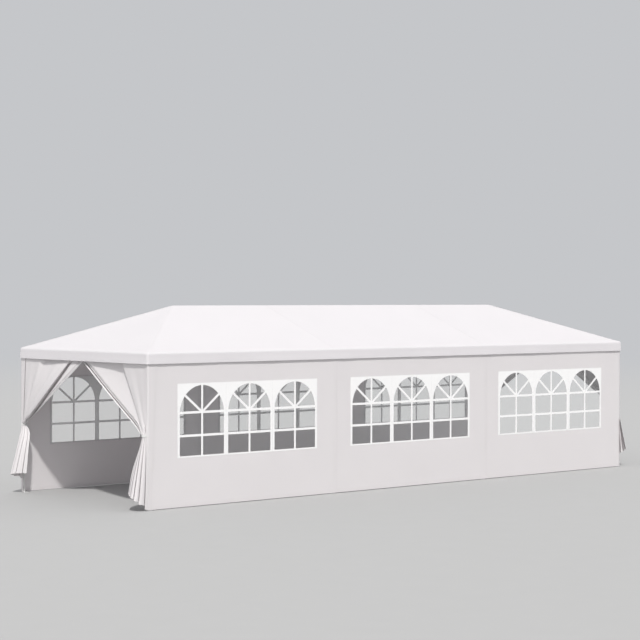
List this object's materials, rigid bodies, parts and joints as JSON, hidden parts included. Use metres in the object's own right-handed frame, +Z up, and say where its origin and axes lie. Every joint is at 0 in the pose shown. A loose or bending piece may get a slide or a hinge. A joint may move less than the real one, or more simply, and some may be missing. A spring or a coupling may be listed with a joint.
{
  "type": "marquee tent",
  "caption": "Long white party tent with a hipped fabric roof on a steel tube frame, arched-window side walls and a zipped doorway tied open at each end.",
  "frame": {"origin": "on the ground at the centre of the plan", "axes": "+X along the ridge towards the right end, +Y from the front wall to the back wall, +Z up"},
  "size_m": [9.4114, 2.911, 2.49],
  "materials": {
    "roof_cloth": "white coated polyethylene cloth, slightly glossy",
    "wall_cloth": "white coated polyethylene cloth, matt",
    "white_steel": "white powder coat, semi-gloss",
    "clear_film": "clear flexible film"
  },
  "bodies": {
    "root": {"front_eave_rail": "white_steel", "back_eave_rail": "white_steel", "left_eave_rail": "white_steel", "right_eave_rail": "white_steel", "ridge_tube": "white_steel", "front_hip_rafter_1": "white_steel", "front_rafter_2": "white_steel", "front_rafter_3": "white_steel", "front_hip_rafter_4": "white_steel", "front_leg_1": "white_steel", "front_leg_2": "white_steel", "front_leg_3": "white_steel", "front_leg_4": "white_steel", "back_hip_rafter_1": "white_steel", "back_rafter_2": "white_steel", "back_rafter_3": "white_steel", "back_hip_rafter_4": "white_steel", "back_leg_1": "white_steel", "back_leg_2": "white_steel", "back_leg_3": "white_steel", "back_leg_4": "white_steel", "front_roof": "roof_cloth", "back_roof": "roof_cloth", "left_roof": "roof_cloth", "right_roof": "roof_cloth", "front_valance": "roof_cloth", "back_valance": "roof_cloth", "left_valance": "roof_cloth", "right_valance": "roof_cloth", "front_wall_1": "wall_cloth", "front_window_film_1": "clear_film", "front_wall_2": "wall_cloth", "front_window_film_2": "clear_film", "front_wall_3": "wall_cloth", "front_window_film_3": "clear_film", "back_wall_1": "wall_cloth", "back_window_film_1": "clear_film", "back_wall_2": "wall_cloth", "back_window_film_2": "clear_film", "back_wall_3": "wall_cloth", "back_window_film_3": "clear_film", "left_door_flap_front": "wall_cloth", "left_door_flap_back": "wall_cloth", "right_door_flap_front": "wall_cloth", "right_door_flap_back": "wall_cloth"}
  },
  "joints": []
}
